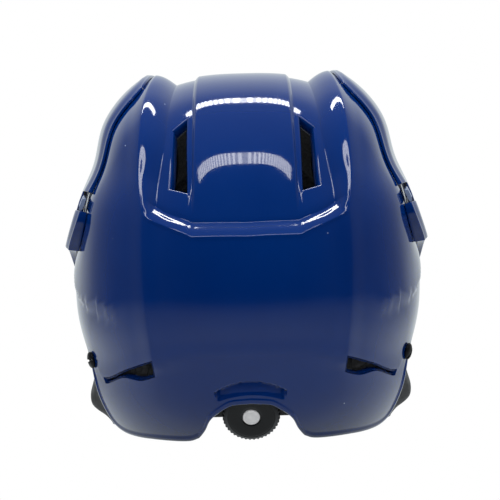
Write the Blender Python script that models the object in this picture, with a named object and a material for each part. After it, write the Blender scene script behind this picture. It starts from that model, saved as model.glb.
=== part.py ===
"""Two-piece ice hockey helmet with a rear fit dial, modelled in millimetres and scaled to metres.

Frame: +Z up, the wearer faces +Y, +X is the wearer's right. The helmet stands on its rear lobes
and its ear guards, which all reach Z = 0.

Every shell, liner and pad is a patch of one superelliptic head form. A patch is laid out by a small
net of points on that form, in rows (p) and columns (q) whose whole numbers follow the feature lines.
"""
import math

import bmesh
import bpy
import numpy as np
from mathutils import Matrix, Vector

MM = 0.001                       # metres in a millimetre
MIDDLE = (0.0, 3.88, 0.0)        # middle of the helmet's base, which becomes the origin

# ---- driving dimensions (mm) ----
HALF_WIDTH = 106.0               # head form, centre plane to side
WAIST = 5.0                      # how far the sides are drawn in at the waist under the crown
WAIST_Z = 160.0
WAIST_SPREAD = 17.0
SHOULDER = 3.8                   # how much narrower the form is under the front shell
HIP = 3.4                        # and low down beside the ears
HIP_Z = 46.0
HIP_SPREAD = 18.0
PIVOT_Z = 75.0                   # height of the left-right axis of the head form
PROFILE = ((-90, 110), (-75, 112), (-60, 118), (-42, 123.5), (-28, 126), (-16, 127), (0, 129.5),
           (9, 131), (15, 132.5), (30, 136.5), (49, 141), (70, 144), (90, 144.5), (110, 143),
           (130, 140.5), (150, 138), (165, 136), (180, 134), (200, 128), (225, 117), (250, 110),
           (270, 110))           # (angle from straight back, over the crown; radius)
SHELL = 2.6                      # shell wall
RECESS = 9.5                     # depth of the vent channels under the ridges
SPINE = 2.0                      # height of the centre spine over the channels
SHELL_CLEARANCE = 1.4            # between the two shells where they overlap
TONGUE_DROP = 10.0               # how much lower the rear shell's tongue lies under the front one
EDGE_FLARE = 3.4                 # how far the wing's lower edge stands out
REAR_FLARE = 1.6                 # and its rear edge
LINER_GAP = 1.2                  # between a shell and its liner
LINER_DEPTH = 20.0               # head form to the inside of the liners
PAD_GAP = 1.0
PAD = 5.5                        # comfort pad thickness
GUARD = 2.4                      # ear guard wall
TOUCH = 0.3                      # gap kept between touching pieces

DIAL_CENTRE = (0.0, -105.5, 15.7)
DIAL_TILT = 22.0                 # degrees the dial faces down
DIAL_RADIUS = 16.4
DIAL_DEPTH = 9.0
DIAL_KNURLS = 42
CAP_RADIUS = 5.2
GUIDE = 1.8                      # radius of the cradle's two guide pins
GUIDE_SPACING = 12.0
GUIDE_Z = 29.5

LEVER_PIN = (-38.0, 137.6)       # where the levers hinge, in the side view
LEVER_PIN_PLACE = ((7.05, 6.0), (7.36, -6.0))    # where the pin sits in the wall: column, height
LEVER_PIN_ROW = 0.62
LEVER_TAIL = (-62.0, 137.6)      # rear end of the levers
LEVER_TAIL_LIFT = 3.3
LEVER_WIDTH = 6.8
LEVER_THICKNESS = 2.0
LEVER_BORE = 0.85
LEVER_PIN_RADIUS = 0.6
SCREW_HEAD = 5.0                 # radius of a screw head
SCREW_SHANK = 2.0
SCREW_HOLE = 2.5


# ---- curves and the head form ----
def smooth(xs, ys, x):
    """Monotone cubic through the points (xs, ys); ys may hold vectors."""
    xs = np.asarray(xs, float)
    ys = np.asarray(ys, float)
    step = np.diff(xs)
    if ys.ndim > 1:
        step = step[:, None]
    slope = np.diff(ys, axis=0) / step
    tangent = np.zeros_like(ys)
    product = slope[:-1] * slope[1:]
    total = slope[:-1] + slope[1:]
    safe = np.where(np.abs(total) > 1e-12, total, 1.0)
    tangent[1:-1] = np.where(product > 0, 2 * product / safe, 0)
    tangent[0] = slope[0]
    tangent[-1] = slope[-1]
    x = np.clip(x, xs[0], xs[-1])
    i = np.clip(np.searchsorted(xs, x, side="right") - 1, 0, len(xs) - 2)
    h = xs[i + 1] - xs[i]
    t = (x - xs[i]) / h
    if ys.ndim > 1:
        h = h[..., None]
        t = t[..., None]
    return ((2 * t**3 - 3 * t**2 + 1) * ys[i] + (t**3 - 2 * t**2 + t) * h * tangent[i]
            + (3 * t**2 - 2 * t**3) * ys[i + 1] + (t**3 - t**2) * h * tangent[i + 1])


PROFILE_ANGLES, PROFILE_RADII = zip(*PROFILE)


def step(t):
    """0 to 1 over t = 0 to 1, level at both ends."""
    t = np.clip(t, 0, 1)
    return t * t * (3 - 2 * t)


def squareness(angle):
    """Exponent of the left-right section: squarer over the crown than around the back."""
    return 2.55 + 0.25 * np.clip(np.sin(np.radians(angle)), 0, 1)


def form(points):
    """1 on the head form, less inside, more outside."""
    x = points[..., 0]
    y = points[..., 1]
    z = points[..., 2] - PIVOT_Z
    angle = np.degrees(np.arctan2(z, -y))
    angle = np.where(angle < -90, angle + 360, angle)
    n = squareness(angle)
    radius = smooth(PROFILE_ANGLES, PROFILE_RADII, angle)
    height = z + PIVOT_Z
    width = (HALF_WIDTH - WAIST * np.exp(-((height - WAIST_Z) / WAIST_SPREAD)**2)
             - HIP * np.exp(-((height - HIP_Z) / HIP_SPREAD)**2)
             - SHOULDER * step((y + 72) / 38) * step((height - 95) / 30))
    return ((np.abs(x) / width)**n + (np.hypot(y, z) / radius)**n)**(1 / n)


def onto_form(points):
    """Moves points onto the head form along rays from its centre."""
    centre = np.array((0.0, 0.0, PIVOT_Z))
    return centre + (points - centre) / form(points)[..., None]


def form_normal(points):
    reach = 0.5
    axes = np.eye(3) * reach
    grad = np.stack([form(points + a) - form(points - a) for a in axes], axis=-1)
    return grad / np.linalg.norm(grad, axis=-1, keepdims=True)


def arc(angle, x):
    """Point of the form at a profile angle and a distance x from the centre plane."""
    n = squareness(angle)
    radius = smooth(PROFILE_ANGLES, PROFILE_RADII, angle) * (1 - (x / HALF_WIDTH)**n)**(1 / n)
    a = math.radians(angle)
    return (x, -radius * math.cos(a), PIVOT_Z + radius * math.sin(a))


def side(y, z):
    """Point of the form at a place in the side view."""
    low, high = 0.0, HALF_WIDTH
    for _ in range(40):
        x = (low + high) / 2
        if form(np.array((x, y, z))) < 1:
            low = x
        else:
            high = x
    return (x, y, z)


def back(x, z):
    """Point of the form at a place in the rear view."""
    low, high = 0.0, 160.0
    for _ in range(40):
        y = (low + high) / 2
        if form(np.array((x, -y, z))) < 1:
            low = y
        else:
            high = y
    return (x, -y, z)


# ---- nets: rows of (column, point), from the lower or rear edge to the upper or front edge ----
REAR_NET = (
    # p0, lower edge: arch over the dial, lobe, edge behind the ear
    ((0, back(0, 26)), (0.35, back(10.2, 25.2)), (0.65, back(20, 19.4)), (0.8, back(24.6, 14.5)),
     (0.9, back(27.5, 8)), (1, back(31, 3)), (2, back(36, 0.9)), (3, back(46, 0.4)), (4, back(52, 0.4)),
     (5, back(58, 0.4)), (5.4, back(70, 0.5)), (5.6, back(76.5, 1.8)), (5.8, back(82, 6)),
     (6, back(87, 15)), (6.25, side(-60, 29)), (6.5, side(-54, 42)), (6.75, side(-44, 52)),
     (7, side(-33, 60))),
    # p1, lower side of the wedge vent
    ((0, back(0, 44)), (1, back(31, 43.5)), (2, back(36, 43)), (3, back(45, 42.4)),
     (4, back(50, 42)), (5, back(54.3, 41.8)), (5.33, back(64, 38.6)), (5.6, back(72, 39.6)),
     (6, back(85.5, 33.2)),
     (6.5, side(-56, 53)), (7, side(-29, 66))),
    # p2, upper side of the wedge vent
    ((0, back(0, 55.5)), (1, back(31, 55)), (2, back(36, 54.5)), (3, back(45, 53)),
     (4, back(50, 53)), (5, back(54.6, 52.6)), (5.5, back(70.5, 45.6)), (6, back(86.5, 37)),
     (6.5, side(-57, 61)),
     (7, side(-27, 72))),
    # p3, top of the lower panel
    ((0, back(0, 122.5)), (1, back(31, 123)), (2, back(34, 124.4)), (3, back(47, 129.5)),
     (4, back(54.5, 132.5)), (5, back(58.5, 134.5)), (6, back(84, 122)), (6.5, side(-58, 92)),
     (7, side(-26, 78))),
    # p4, foot of the ledge
    ((0, back(0, 132)), (1, back(30.5, 132.3)), (2, back(34, 133.5)), (3, back(47.5, 138)),
     (4, back(54, 141.5)), (5, back(59.5, 143.5)), (6, back(83.5, 131)), (6.5, side(-56, 100)),
     (7, side(-26, 82))),
    # p5, lower end of the tall vent
    ((0, back(0, 146)), (1, back(30, 146)), (2, back(33.5, 148.3)), (3, back(47.2, 151.8)),
     (4, back(53.5, 154)), (5, back(60.8, 156)), (6, back(83, 142)), (6.5, side(-53, 110)),
     (7, side(-26, 86))),
    # p6, upper end of the tall vent
    ((0, back(0, 198)), (1, back(28.5, 197)), (2, back(33.5, 196)), (3, back(45.3, 187.7)),
     (4, back(48.5, 186)), (5, back(59.5, 186)), (6, back(81, 163)), (6.5, side(-46, 127)),
     (7, side(-28, 90))),
    # p7, crown
    ((0, arc(88, 0)), (1, arc(88, 27.5)), (2, arc(88, 33)), (3, arc(88, 40)), (4, arc(88, 43.5)),
     (5, arc(88, 53)), (5.5, arc(84, 66)), (6, side(-42, 178)), (6.5, side(-41, 134)),
     (7, side(-30, 94))),
    # p8, under the rear edge of the front shell
    ((0, arc(102, 0)), (1, arc(102, 27.5)), (2, arc(102, 33)), (3, arc(102, 40)),
     (4, arc(102, 43.5)), (5, arc(101, 53)), (5.5, side(-8, 198)), (6, side(-37, 181)),
     (6.5, side(-41, 137)), (7, side(-31, 95.5))),
    # p9, front edge, hidden under the front shell
    ((0, arc(114, 0)), (1, arc(114, 27.5)), (2, arc(114, 33)), (3, arc(114, 40)),
     (4, arc(114, 43.5)), (5, arc(113, 53)), (5.5, side(4, 195)), (6, side(-31, 184)),
     (6.5, side(-37, 140)), (7, side(-32, 97))),
)

FRONT_NET = (
    # p0, rear edge: over the crown, then down the wing
    ((0, arc(102, 0)), (1, arc(102, 27.5)), (2, arc(102, 33)), (3, arc(102, 40)),
     (4, arc(102, 43.5)), (5, arc(101, 53)), (5.15, arc(92, 56)), (5.3, arc(80, 59.5)),
     (5.5, back(66.5, 197)), (6, side(-41, 182)), (6.5, side(-50, 165)), (7, side(-57, 146.5)),
     (7.5, side(-65, 127)), (8, side(-56, 110))),
    ((0, arc(116, 0)), (1, arc(116, 27.5)), (2, arc(116, 33)), (3, arc(116, 40)),
     (4, arc(116, 43.5)), (5, arc(115, 53)), (5.5, side(20, 194)), (6, side(-16, 184)),
     (6.5, side(-20, 165)), (7, side(-24, 144)), (7.5, side(-31, 125)), (8, side(-32, 111))),
    ((0, arc(128, 0)), (1, arc(128, 26)), (2, arc(128, 32)), (3, arc(126, 41)), (4, arc(126, 45)),
     (5, arc(127, 54)), (5.5, side(48, 180)), (6, side(20, 174)), (6.5, side(14, 156)),
     (7, side(8, 134)), (7.5, side(3, 116)), (8, side(0, 104))),
    ((0, arc(147, 0)), (1, arc(147, 24)), (2, arc(147, 30)), (3, arc(143, 42)), (4, arc(143, 47)),
     (5, arc(145, 56)), (5.5, side(82, 149)), (6, side(58, 152)), (6.5, side(47, 140)),
     (7, side(37, 122)), (7.5, side(31, 104)), (8, side(27, 86))),
    ((0, arc(158, 0)), (1, arc(158, 23)), (2, arc(158, 29)), (3, arc(156, 42)), (4, arc(156, 48)),
     (5, arc(157, 57)), (5.5, arc(157, 70)), (6, side(84, 118)), (6.5, side(72, 107)),
     (7, side(60, 92)), (7.5, side(50, 72)), (8, side(42, 50))),
    # p5, brow edge and the front of the temple lobe
    ((0, arc(169, 0)), (1, arc(169, 22)), (2, arc(169, 28)), (3, arc(169, 42)), (4, arc(169, 48)),
     (5, arc(170, 57)), (5.5, arc(171, 69)), (6, side(102, 90)), (6.5, side(97, 80)),
     (7, side(88, 67)), (7.5, side(77, 50)), (8, side(60, 40))),
)

GUARD_NET = (
    ((0, side(-48, 0)), (1, side(-28, 0)), (2, side(-7, 0)), (3, side(14, 0)), (4, side(33, 0))),
    ((0, side(-60, 18)), (1, side(-34, 18)), (2, side(-8, 18)), (3, side(15, 18)),
     (4, side(38, 18))),
    ((0, side(-70, 40)), (1, side(-40, 39)), (2, side(-8, 38)), (3, side(16, 38)),
     (4, side(40, 38))),
    ((0, side(-60, 62)), (1, side(-35, 61)), (2, side(-8, 60)), (3, side(15, 60)),
     (4, side(37, 60))),
    ((0, side(-38, 84)), (1, side(-26, 86)), (2, side(-8, 87)), (3, side(10, 86)),
     (4, side(24, 82))),
)


def lay_out(net, rows, columns):
    """Points and outward normals of the form at every (row, column) of a net."""
    columns = np.asarray(columns, float)
    lines = []
    for row in net:
        places, points = zip(*row)
        lines.append(smooth(places, points, np.abs(columns)))
    lines = np.array(lines)
    rows = np.asarray(rows, float)
    grid = np.stack([smooth(range(len(net)), lines[:, j], rows) for j in range(len(columns))],
                    axis=1)
    grid[..., 0] *= np.where(columns < 0, -1, 1)
    grid = onto_form(grid)
    return grid, form_normal(grid)


# ---- relief of the shells, in mm along the form's normal ----
def ramp(t, soft=0.35):
    """0 to 1 over t = 0 to 1, rounded at both ends and straight in between."""
    t = np.clip(t, 0, 1)
    bent = t * t * (3 - 2 * t)
    return soft * bent + (1 - soft) * t


def recess_across(q):
    """Depth across the crown: spine, channel, then the wall up to the ridge."""
    q = np.abs(q)
    floor = -RECESS + SPINE * (1 - ramp((q - 1) / 0.5))
    return floor * (1 - ramp((q - 4) / 1))


def rear_relief(p, q):
    return recess_across(q) * ramp(p - 3)


def tongue_drop(normals):
    """The rear shell's tongue lies lower, so that the front shell can slide back over it."""
    return -TONGUE_DROP * np.clip(normals[..., 1], 0, 1)


def front_relief(p, q):
    return recess_across(q) * (1 - ramp((p - 3) / 1))


def front_standoff(p, q):
    """Height of the front shell over the form: it clears the rear shell, and its wing flares."""
    q = np.abs(q)
    lower = EDGE_FLARE * step((q - 6.9) / 1.1) * (1 - step((p - 1.6) / 1.4))
    rear = REAR_FLARE * step((q - 6.7) / 0.8) * (1 - step(p / 1.1))
    return SHELL_CLEARANCE + SHELL + lower + rear


# ---- mesh building ----
def new_object(name, mesh, material):
    obj = bpy.data.objects.new(name, mesh)
    bpy.context.scene.collection.objects.link(obj)
    mesh.materials.append(material)
    mesh.shade_smooth()
    mesh.set_sharp_from_angle(angle=math.radians(40))
    return obj


def mesh_from(name, vertices, faces):
    mesh = bpy.data.meshes.new(name)
    mesh.from_pydata([tuple(float(c) * MM for c in v) for v in vertices], [], faces)
    bm = bmesh.new()
    bm.from_mesh(mesh)
    bmesh.ops.delete(bm, geom=[v for v in bm.verts if not v.link_faces], context="VERTS")
    bmesh.ops.recalc_face_normals(bm, faces=bm.faces)
    bm.to_mesh(mesh)
    bm.free()
    return mesh


def solid_between(name, outer, inner, material, open_cells=()):
    """Closed solid between two grids of points, with through holes at the open cells."""
    rows, columns = outer.shape[:2]
    vertices = np.concatenate([outer.reshape(-1, 3), inner.reshape(-1, 3)]) - MIDDLE
    under = rows * columns
    filled = np.ones((rows + 1, columns + 1), bool)
    filled[0] = filled[-1] = False
    filled[:, 0] = filled[:, -1] = False
    for i, j in open_cells:
        filled[i + 1, j + 1] = False

    def at(i, j):
        return i * columns + j

    faces = []
    for i in range(rows - 1):
        for j in range(columns - 1):
            if not filled[i + 1, j + 1]:
                continue
            a, b, c, d = at(i, j), at(i, j + 1), at(i + 1, j + 1), at(i + 1, j)
            faces.append((a, b, c, d))
            faces.append((d + under, c + under, b + under, a + under))
            for start, end, di, dj in ((a, b, -1, 0), (b, c, 0, 1), (c, d, 1, 0), (d, a, 0, -1)):
                if not filled[i + 1 + di, j + 1 + dj]:
                    faces.append((end, start, start + under, end + under))
    return new_object(name, mesh_from(name, vertices, faces), material)


def patch(name, net, rows, columns, outer, inner, material, open_area=(), settle=False):
    """Solid patch of the form; outer and inner give offsets from (p, q, normals)."""
    grid, normals = lay_out(net, rows, columns)
    p, q = np.meshgrid(rows, columns, indexing="ij")
    top = grid + normals * outer(p, q, normals)[..., None]
    bottom = grid + normals * inner(p, q, normals)[..., None]
    if settle:
        top[0, :, 2] = 0
        bottom[0, :, 2] = 0
    open_cells = [(i, j) for i in range(len(rows) - 1) for j in range(len(columns) - 1)
                  for p0, p1, q0, q1 in open_area
                  if p0 <= (rows[i] + rows[i + 1]) / 2 <= p1
                  and q0 <= abs(columns[j] + columns[j + 1]) / 2 <= q1]
    return solid_between(name, top, bottom, material, open_cells)


def both_sides(half):
    """Columns for the whole helmet from the columns of its right half."""
    return [-q for q in reversed(half) if q > 0] + list(half)


def level(depth):
    """Offset that is the same all over."""
    return lambda p, q, n: np.full(np.shape(p), float(depth))


def between(values, start, end):
    """The given lines from start to end, so that layers over each other share their facets."""
    return [start] + [v for v in values if start + 0.05 < v < end - 0.05] + [end]


def turned(name, profile, material, sides=32, centre=(0, 0, 0), axis=(0, 0, 1), wave=None):
    """Closed turned solid; the profile is (radius, height) pairs that start and end on the axis."""
    vertices = [(0, 0, profile[0][1])]
    inner = profile[1:-1]
    for radius, height in inner:
        for k in range(sides):
            a = 2 * math.pi * k / sides
            r = radius + (wave(radius, height, k) if wave else 0)
            vertices.append((r * math.cos(a), r * math.sin(a), height))
    vertices.append((0, 0, profile[-1][1]))
    last = len(vertices) - 1
    faces = []
    for k in range(sides):
        n = (k + 1) % sides
        faces.append((0, 1 + n, 1 + k))
        for ring in range(len(inner) - 1):
            low = 1 + ring * sides
            faces.append((low + k, low + n, low + sides + n, low + sides + k))
        top = 1 + (len(inner) - 1) * sides
        faces.append((last, top + k, top + n))
    obj = new_object(name, mesh_from(name, vertices, faces), material)
    turn = Vector((0, 0, 1)).rotation_difference(Vector(axis)).to_matrix().to_4x4()
    obj.matrix_world = Matrix.Translation((Vector(centre) - Vector(MIDDLE)) * MM) @ turn
    return obj


def block(name, size, centre, material, turn=None, radius=0.0):
    """Box with its own rounded edges."""
    mesh = bpy.data.meshes.new(name)
    bm = bmesh.new()
    bmesh.ops.create_cube(bm, size=1)
    bmesh.ops.scale(bm, vec=Vector(size) * MM, verts=bm.verts)
    if radius:
        bmesh.ops.bevel(bm, geom=list(bm.edges), offset=radius * MM, segments=2, profile=0.5,
                        affect="EDGES")
    bm.to_mesh(mesh)
    bm.free()
    obj = new_object(name, mesh, material)
    turn = turn.to_4x4() if turn else Matrix.Identity(4)
    obj.matrix_world = Matrix.Translation((Vector(centre) - Vector(MIDDLE)) * MM) @ turn
    return obj


def combine(target, tool, operation):
    """Boolean with a shape that is only a tool."""
    tool.hide_render = True
    tool.display_type = "WIRE"
    modifier = target.modifiers.new(operation.title(), "BOOLEAN")
    modifier.operation = operation
    modifier.solver = "EXACT"
    modifier.object = tool


def material(name, colour, roughness, metallic=0.0):
    mat = bpy.data.materials.new(name)
    mat.use_nodes = True
    shader = mat.node_tree.nodes["Principled BSDF"]
    shader.inputs["Base Color"].default_value = (*colour, 1)
    shader.inputs["Roughness"].default_value = roughness
    shader.inputs["Metallic"].default_value = metallic
    mat.diffuse_color = (*colour, 1)
    return mat


def clear_scene():
    for obj in list(bpy.data.objects):
        bpy.data.objects.remove(obj, do_unlink=True)


# ---- the helmet's pieces ----
REAR_COLUMNS = (0, 0.35, 0.65, 0.85, 1, 1.5, 2, 3, 4, 4.5, 5, 5.25, 5.5, 5.75, 6, 6.25, 6.5, 6.75, 7)
REAR_ROWS = (0, 0.5, 1, 2, 2.3, 2.65, 3, 3.5, 4, 5, 5.33, 5.66, 6, 6.35, 6.7, 7, 7.25, 7.5, 7.75, 8, 8.5, 9)
FRONT_COLUMNS = (0, 0.5, 1, 1.5, 2, 3, 4, 4.5, 5, 5.15, 5.3, 5.5, 5.75, 6, 6.25, 6.5, 6.75, 7, 7.06,
                 7.35, 7.5, 7.75, 8)
FRONT_ROWS = (0, 0.2, 0.4, 0.6, 0.78, 1, 1.25, 1.5, 2, 2.5, 3, 3.5, 4, 4.5, 5)
TALL_VENT = (5, 6, 2, 3)
WEDGE_VENT = (1, 2, 5, 6)
BROW_VENT = (2, 3, 2, 3)
SIDE_VENT = (3, 4, 6, 6.5)
LEVER_NOTCH = (0, 0.78, 7.06, 7.35)   # opening in the rear edge of the front shell's wing


def build_shells(paint):
    def rear_outer(p, q, n):
        return rear_relief(p, q) + tongue_drop(n)

    def rear_inner(p, q, n):
        return rear_outer(p, q, n) - SHELL

    def front_outer(p, q, n):
        return front_relief(p, q) + front_standoff(p, q)

    def front_inner(p, q, n):
        return front_outer(p, q, n) - SHELL

    rear = patch("rear_shell", REAR_NET, REAR_ROWS, both_sides(REAR_COLUMNS), rear_outer,
                 rear_inner, paint, (TALL_VENT, WEDGE_VENT))
    front = patch("front_shell", FRONT_NET, FRONT_ROWS, both_sides(FRONT_COLUMNS), front_outer,
                  front_inner, paint, (BROW_VENT, SIDE_VENT, LEVER_NOTCH))
    return rear, front


def build_liners(foam):
    def rear_face(p, q, n):
        return rear_relief(p, q) + tongue_drop(n) - SHELL - LINER_GAP

    def front_face(p, q, n):
        return front_relief(p, q) - LINER_GAP

    inner = level(-LINER_DEPTH)

    def lay(name, net, rows, columns, face):
        net_rows, net_columns = (REAR_ROWS, REAR_COLUMNS) if net is REAR_NET else (
            FRONT_ROWS, FRONT_COLUMNS)
        half = between(net_columns, *columns[:2])
        spread = both_sides(half) if columns[2] == 0 else sorted(columns[2] * q for q in half)
        patch(name, net, between(net_rows, *rows), spread, face, inner, foam)

    lay("rear_liner", REAR_NET, (0.8, 3.5), (0, 5, 0), rear_face)
    lay("crown_liner", REAR_NET, (4.15, 8.5), (0, 1.8, 0), rear_face)
    lay("front_liner", FRONT_NET, (1.3, 4.8), (0, 5, 0), front_face)
    for tag, sign in (("left", -1), ("right", 1)):
        lay("crown_liner_" + tag, REAR_NET, (4.15, 8.5), (3.2, 4.5, sign), rear_face)
        lay("side_liner_" + tag, REAR_NET, (0.5, 8.5), (5.25, 6, sign), rear_face)
        lay("front_side_liner_" + tag, FRONT_NET, (2.5, 4.5), (5.5, 7, sign), front_face)


def build_pads(fabric):
    outer = level(-LINER_DEPTH - PAD_GAP)
    inner = level(-LINER_DEPTH - PAD_GAP - PAD)

    def lay(name, net, rows, half, sign=0):
        net_rows, net_columns = (REAR_ROWS, REAR_COLUMNS) if net is REAR_NET else (
            FRONT_ROWS, FRONT_COLUMNS)
        half = between(net_columns, *half)
        spread = sorted(sign * q for q in half) if sign else both_sides(half)
        patch(name, net, between(net_rows, *rows), spread, outer, inner, fabric)

    lay("rear_pad", REAR_NET, (2.35, 3.8), (0, 4))
    lay("crown_pad", REAR_NET, (5.33, 7.5), (0, 1.6))
    lay("forehead_pad", FRONT_NET, (3.6, 4.75), (0, 5))
    for tag, sign in (("left", -1), ("right", 1)):
        lay("side_pad_" + tag, REAR_NET, (2.65, 5.33), (5.5, 6), sign)
        lay("temple_pad_" + tag, FRONT_NET, (3, 4.5), (6, 7), sign)


def guard_bulge(p, q):
    """How far the guard stands out just above its lower edge."""
    return 4.6 * np.exp(-((p - 1.1) / 0.5)**2) * step(p / 0.5) * step((q - 0.5) / 0.6)


def build_ear_guards(plastic):
    """Ear guards tuck under the shells at the top and bulge past the shell's edge below."""
    def outer(p, q, n):
        tuck = np.maximum(ramp((p - 1) / 1.6), 1 - ramp(q / 0.9))
        return -1.0 - 7.0 * tuck + guard_bulge(p, q)

    def inner(p, q, n):
        return outer(p, q, n) - GUARD

    rows = [0, 0.35, 0.7, 1, 1.25, 1.5, 1.75, 2, 2.4, 2.8, 3.2, 4]
    slots = [(1.5, 2, q, q + 0.4) for q in (1.2, 2.0, 2.8)]
    slots += [(2.4, 2.8, q, q + 0.4) for q in (1.2, 2.0, 2.8)]
    columns = [0, 0.5, 0.8, 1.2, 1.6, 2.0, 2.4, 2.8, 3.2, 3.6, 4]
    guards = []
    for tag, sign in (("left", -1), ("right", 1)):
        guard = patch("ear_guard_" + tag, GUARD_NET, rows, columns, outer, inner, plastic, slots,
                      settle=True)
        if sign < 0:
            for vertex in guard.data.vertices:
                vertex.co.x *= -1
            guard.data.flip_normals()
        guards.append(guard)
    return guards


def surface_frame(point, sign):
    """Centre and outward axis of a fastener on the form, mirrored for the left side."""
    point = np.array(point)
    normal = form_normal(point)
    flip = np.array((sign, 1, 1))
    return point * flip, normal * flip


def screw(name, place, axis, lift, shank_length, metal):
    """Slotted dome-head screw whose head seats a small gap above the surface."""
    seat = lift + TOUCH
    profile = [(0, seat - shank_length), (SCREW_SHANK, seat - shank_length), (SCREW_SHANK, seat),
               (SCREW_HEAD, seat), (SCREW_HEAD, seat + 0.8), (SCREW_HEAD * 0.8, seat + 2.0),
               (SCREW_HEAD * 0.42, seat + 2.7), (0, seat + 2.9)]
    body = turned(name, profile, metal, 20, place, axis)
    slot = block(name + "_slot", (SCREW_HEAD * 1.5, 1.3, 2.0),
                 (0, 0, 0), metal)
    slot.matrix_world = body.matrix_world @ Matrix.Translation((0, 0, (seat + 3.1) * MM))
    combine(body, slot, "DIFFERENCE")
    return body


def drill(target, name, place, axis, radius, reach, metal):
    tool = turned(name, [(0, -reach), (radius, -reach), (radius, reach), (0, reach)], metal, 16,
                  place, axis)
    combine(target, tool, "DIFFERENCE")


def nut(name, place, axis, depth, thread, metal):
    """Flanged nut on the inner side, with the screw's end inside it."""
    profile = [(0, -depth - 3.2), (3.4, -depth - 3.2), (3.4, -depth - 1.2), (5.2, -depth - 1.2),
               (5.2, -depth), (0, -depth)]
    body = turned(name, profile, metal, 18, place, axis)
    drill(body, name + "_thread", place, axis, thread, depth + 6, metal)


def build_fasteners(rear, front, guards, metal):
    guard_mount = side(-61, 45)
    guard_depth = 8.0 + 1.0 + GUARD
    visor_mount = arc(163, 66)
    thread = SCREW_SHANK + TOUCH
    for tag, sign, guard in (("left", -1, guards[0]), ("right", 1, guards[1])):
        place, axis = surface_frame(guard_mount, sign)
        screw("guard_screw_" + tag, place, axis, 0, guard_depth + 2.8, metal)
        nut("guard_nut_" + tag, place, axis, guard_depth, thread, metal)
        drill(rear, "guard_hole_" + tag, place, axis, SCREW_HOLE, 6, metal)
        drill(guard, "guard_bore_" + tag, place, axis, SCREW_HOLE, 14, metal)
        place, axis = surface_frame(visor_mount, sign)
        lift = SHELL + SHELL_CLEARANCE
        screw("visor_screw_" + tag, place, axis, lift, lift + 2.0, metal)
        nut("visor_nut_" + tag, place, axis, -0.2, thread, metal)
        drill(front, "visor_hole_" + tag, place, axis, SCREW_HOLE, 8, metal)


def build_dial(housing_plastic, dial_plastic, cap_plastic):
    tilt = math.radians(DIAL_TILT)
    axis = Vector((0, -math.cos(tilt), -math.sin(tilt)))
    face = Vector(DIAL_CENTRE)

    def knurl(radius, height, k):
        return 0.55 * (1 if k % 2 else -1) if radius > DIAL_RADIUS - 1.2 else 0

    turned("dial_knob", [(0, -DIAL_DEPTH), (DIAL_RADIUS, -DIAL_DEPTH), (DIAL_RADIUS, -1.6),
                         (DIAL_RADIUS - 1.6, -0.2), (CAP_RADIUS + 1.4, 0), (CAP_RADIUS + 0.5, -1.2),
                         (0, -1.2)],
           dial_plastic, 2 * DIAL_KNURLS, face, axis, knurl)
    turned("dial_cap", [(0, -1.2 + TOUCH), (CAP_RADIUS, -1.2 + TOUCH), (CAP_RADIUS, 0.2),
                        (CAP_RADIUS - 0.6, 0.6), (0, 0.8)], cap_plastic, 28, face, axis)
    deep = -DIAL_DEPTH - TOUCH
    housing = turned("dial_housing", [(0, deep - 7), (DIAL_RADIUS + 0.6, deep - 7),
                                      (DIAL_RADIUS + 0.6, deep - 1), (DIAL_RADIUS - 0.4, deep),
                                      (0, deep)], housing_plastic, 36, face, axis)
    wings = block("housing_wings", (66, 5, 11), (0, -92, 19.5), housing_plastic,
                  Matrix.Rotation(tilt, 3, "X"), 1.2)
    combine(housing, wings, "UNION")
    for x in (-GUIDE_SPACING / 2, GUIDE_SPACING / 2):
        pin = turned("housing_guide", [(0, 0), (GUIDE, 0), (GUIDE, 26), (0, 26)], housing_plastic,
                     16, (x, -94, GUIDE_Z), (0, 1, 0))
        combine(housing, pin, "UNION")


def build_cradle(plastic, fabric):
    """Occipital cradle, carried on a tongue that slides along the housing's guide pins."""
    cradle = patch("occipital_cradle", REAR_NET, [0.85, 1, 1.35, 1.7, 2.1],
                   both_sides([0, 0.65, 1, 2, 3, 4]), level(-LINER_DEPTH - 5),
                   level(-LINER_DEPTH - 7.2), plastic, [(1, 1.35, 1, 3)])
    tongue = block("cradle_tongue", (20, 2.6, 30), (0, -93.7, 40.0), plastic,
                   Matrix.Rotation(math.radians(19), 3, "X"), 0.8)
    combine(cradle, tongue, "UNION")
    for x in (-GUIDE_SPACING / 2, GUIDE_SPACING / 2):
        hole = turned("tongue_hole", [(0, 0), (GUIDE + 0.5, 0), (GUIDE + 0.5, 30), (0, 30)],
                      plastic, 16, (x, -100, GUIDE_Z), (0, 1, 0))
        combine(cradle, hole, "DIFFERENCE")
    patch("cradle_pad", REAR_NET, [1.36, 1.7, 2.05], both_sides([0, 1, 2, 3.8]),
          level(-LINER_DEPTH - 7.8), level(-LINER_DEPTH - 12), fabric)


def lever_frame(sign):
    """Pin point of a lever, its length, and its axes: forwards, along the pin, and outwards."""
    ends = []
    for column, height in LEVER_PIN_PLACE:
        point, normal = surface_frame(side(LEVER_PIN[0], LEVER_PIN[1] + height), sign)
        wall = front_standoff(LEVER_PIN_ROW, column) - SHELL / 2
        ends.append(Vector(point + normal * wall))
    pin = (ends[0] + ends[1]) / 2
    up = (ends[0] - ends[1]).normalized() * sign
    tail, normal = surface_frame(side(*LEVER_TAIL), sign)
    along = pin - Vector(tail + normal * LEVER_TAIL_LIFT)
    along = (along - up * along.dot(up))
    length = along.length
    along.normalize()
    return pin, length, Matrix((along, up, along.cross(up))).transposed()


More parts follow.
